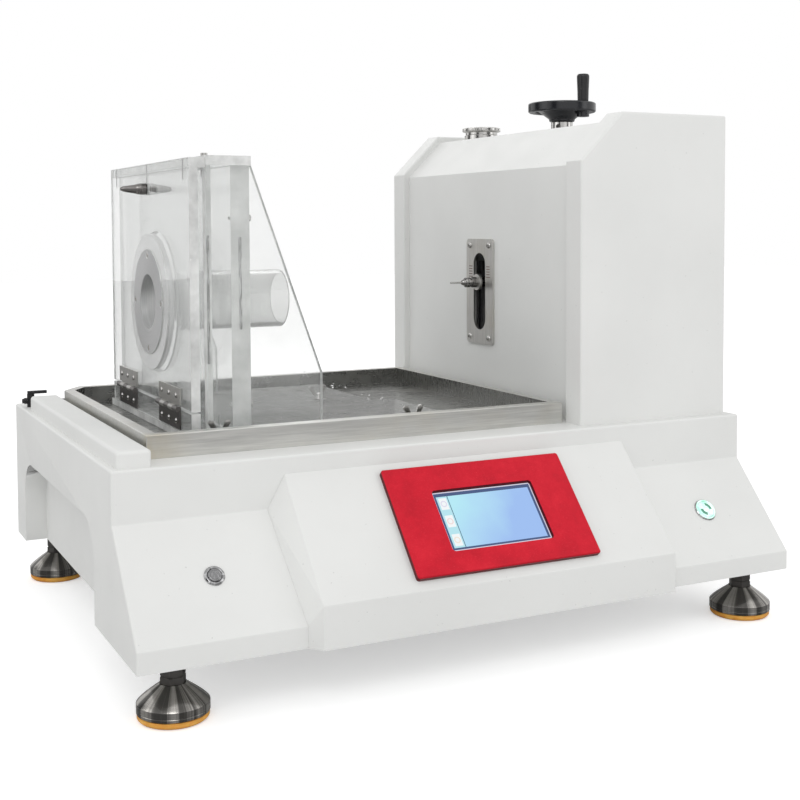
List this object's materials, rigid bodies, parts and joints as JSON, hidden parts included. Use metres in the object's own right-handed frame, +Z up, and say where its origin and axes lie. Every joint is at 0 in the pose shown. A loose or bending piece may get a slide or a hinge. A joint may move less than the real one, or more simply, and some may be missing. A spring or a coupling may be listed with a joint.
{
  "type": "synthetic blood penetration tester",
  "caption": "Bench tester with a drip tray, a clear hinged specimen fixture and a tower whose handwheel sets the height of a jet nozzle.",
  "frame": {"origin": "on the floor, under the middle of the outline", "axes": "+X to the side with the tower, +Y to the back, +Z up"},
  "size_m": [0.76, 0.612, 0.6516],
  "materials": {
    "cabinet_paint": "satin light grey powder coat",
    "stainless": "brushed stainless steel",
    "polished_steel": "polished",
    "machined_aluminium": "turned",
    "red_anodised": "red anodised",
    "screen_glass": "lit display",
    "circuit_board": "green laminate",
    "black_plastic": "moulded black",
    "green_plastic": "lit green",
    "dark_steel": "burnished",
    "brass": "turned",
    "clear_acrylic": "clear",
    "amber_rubber": "moulded"
  },
  "bodies": {
    "base": {"base_cabinet": "cabinet_paint", "console_housing": "cabinet_paint", "tower_front_panel": "cabinet_paint", "tower_rear_panel": "cabinet_paint", "tower_skin": "cabinet_paint", "tower_side_cover": "cabinet_paint", "bottom_plate": "cabinet_paint", "drip_tray": "stainless", "tray_rail": "cabinet_paint", "nozzle_plate": "stainless", "wheel_collar": "stainless", "filler_neck": "stainless", "supply_tube": "stainless", "reservoir": "stainless", "button_rings": "polished_steel", "nozzle_plate_screws": "polished_steel", "guide_rods": "polished_steel", "foot_cups": "polished_steel", "slide_frame": "machined_aluminium", "screen_bezel": "red_anodised", "touch_screen": "screen_glass", "control_board": "circuit_board", "mains_inlet": "black_plastic", "drain_valve_body": "black_plastic", "power_supply": "dark_steel", "solenoid_valve": "dark_steel", "air_inlet": "brass", "foot_pads": "amber_rubber"},
    "fixture": {"fixture_base_plate": "clear_acrylic", "fixture_sill": "clear_acrylic", "fixture_inner_plate": "clear_acrylic", "fixture_back_plate": "clear_acrylic", "fixture_side_plates": "clear_acrylic", "fixture_top_plate": "clear_acrylic", "target_tube": "clear_acrylic", "fixture_screws": "polished_steel", "door_hinge_lower": "dark_steel"},
    "door": {"door_plate": "clear_acrylic", "door_top_rail": "clear_acrylic", "specimen_ring": "machined_aluminium", "door_hinge_upper": "dark_steel", "door_hardware": "polished_steel"},
    "drive_wheel": {"handwheel": "black_plastic", "lead_screw": "polished_steel"},
    "nozzle": {"nozzle_carriage": "machined_aluminium", "nozzle_body": "polished_steel", "nozzle_needle": "polished_steel"},
    "door_latch": {"door_latch": "black_plastic"},
    "crank_handle": {"crank_handle": "black_plastic"},
    "filler_cap": {"filler_cap": "stainless"},
    "start_button": {"start_button": "black_plastic"},
    "power_button": {"power_button": "green_plastic"},
    "drain_valve_lever": {"drain_valve_lever": "black_plastic"},
    "wing_bolt_front_left": {"wing_bolt_front_left": "polished_steel"},
    "wing_bolt_front_right": {"wing_bolt_front_right": "polished_steel"},
    "wing_bolt_rear": {"wing_bolt_rear": "polished_steel"},
    "foot_stud_front_left": {"foot_stud_front_left": "polished_steel"},
    "foot_stud_front_right": {"foot_stud_front_right": "polished_steel"},
    "foot_stud_rear_left": {"foot_stud_rear_left": "polished_steel"},
    "foot_stud_rear_right": {"foot_stud_rear_right": "polished_steel"}
  },
  "joints": [
    {"name": "fixture_slide", "type": "slide", "parent": "base", "child": "fixture", "axis": [1, 0, 0], "range_m": [-0.01, 0.01]},
    {"name": "door_hinge", "type": "hinge", "parent": "fixture", "child": "door", "pos_m": [-0.2772, 0.046, 0.2582], "axis": [0, -1, 0], "range_deg": [0, 90]},
    {"name": "door_latch_pull", "type": "slide", "parent": "door", "child": "door_latch", "axis": [-1, 0, 0], "range_m": [0, 0.008], "stiffness_N_per_m": 200},
    {"name": "handwheel_turn", "type": "hinge", "parent": "base", "child": "drive_wheel", "pos_m": [0.295, 0.046, 0.602], "axis": [0, 0, 1], "range_deg": [-4500, 2520]},
    {"name": "crank_spin", "type": "hinge", "parent": "drive_wheel", "child": "crank_handle", "pos_m": [0.30789, 0.01562, 0.62], "axis": [0, 0, 1], "continuous": true},
    {"name": "nozzle_height", "type": "slide", "parent": "base", "child": "nozzle", "axis": [0, 0, 1], "range_m": [-0.0501, 0.0281]},
    {"name": "filler_cap_turn", "type": "hinge", "parent": "base", "child": "filler_cap", "pos_m": [0.26, 0.2, 0.586], "axis": [0, 0, 1], "continuous": true},
    {"name": "start_press", "type": "slide", "parent": "base", "child": "start_button", "axis": [0, 0.7452, -0.6668], "range_m": [0, 0.002], "stiffness_N_per_m": 300},
    {"name": "power_press", "type": "slide", "parent": "base", "child": "power_button", "axis": [0, 0.7452, -0.6668], "range_m": [0, 0.002], "stiffness_N_per_m": 300},
    {"name": "drain_lever_turn", "type": "hinge", "parent": "base", "child": "drain_valve_lever", "pos_m": [-0.368, 0.265, 0.24], "axis": [0, 0, 1], "range_deg": [0, 90]},
    {"name": "wing_bolt_front_left_turn", "type": "hinge", "parent": "base", "child": "wing_bolt_front_left", "pos_m": [-0.249, -0.133, 0.24], "axis": [0, 0, 1], "continuous": true},
    {"name": "wing_bolt_front_right_turn", "type": "hinge", "parent": "base", "child": "wing_bolt_front_right", "pos_m": [-0.0235, -0.133, 0.24], "axis": [0, 0, 1], "continuous": true},
    {"name": "wing_bolt_rear_turn", "type": "hinge", "parent": "base", "child": "wing_bolt_rear", "pos_m": [-0.05, 0.08, 0.24], "axis": [0, 0, 1], "continuous": true},
    {"name": "foot_front_left_turn", "type": "hinge", "parent": "base", "child": "foot_stud_front_left", "pos_m": [-0.338, -0.259, 0.047], "axis": [0, 0, 1], "continuous": true},
    {"name": "foot_front_right_turn", "type": "hinge", "parent": "base", "child": "foot_stud_front_right", "pos_m": [0.338, -0.259, 0.047], "axis": [0, 0, 1], "continuous": true},
    {"name": "foot_rear_left_turn", "type": "hinge", "parent": "base", "child": "foot_stud_rear_left", "pos_m": [-0.338, 0.266, 0.047], "axis": [0, 0, 1], "continuous": true},
    {"name": "foot_rear_right_turn", "type": "hinge", "parent": "base", "child": "foot_stud_rear_right", "pos_m": [0.338, 0.266, 0.047], "axis": [0, 0, 1], "continuous": true}
  ],
  "couplings": [
    {"joint": "nozzle_height", "follows": "handwheel_turn", "m_per_rad": 0.00063662}
  ]
}
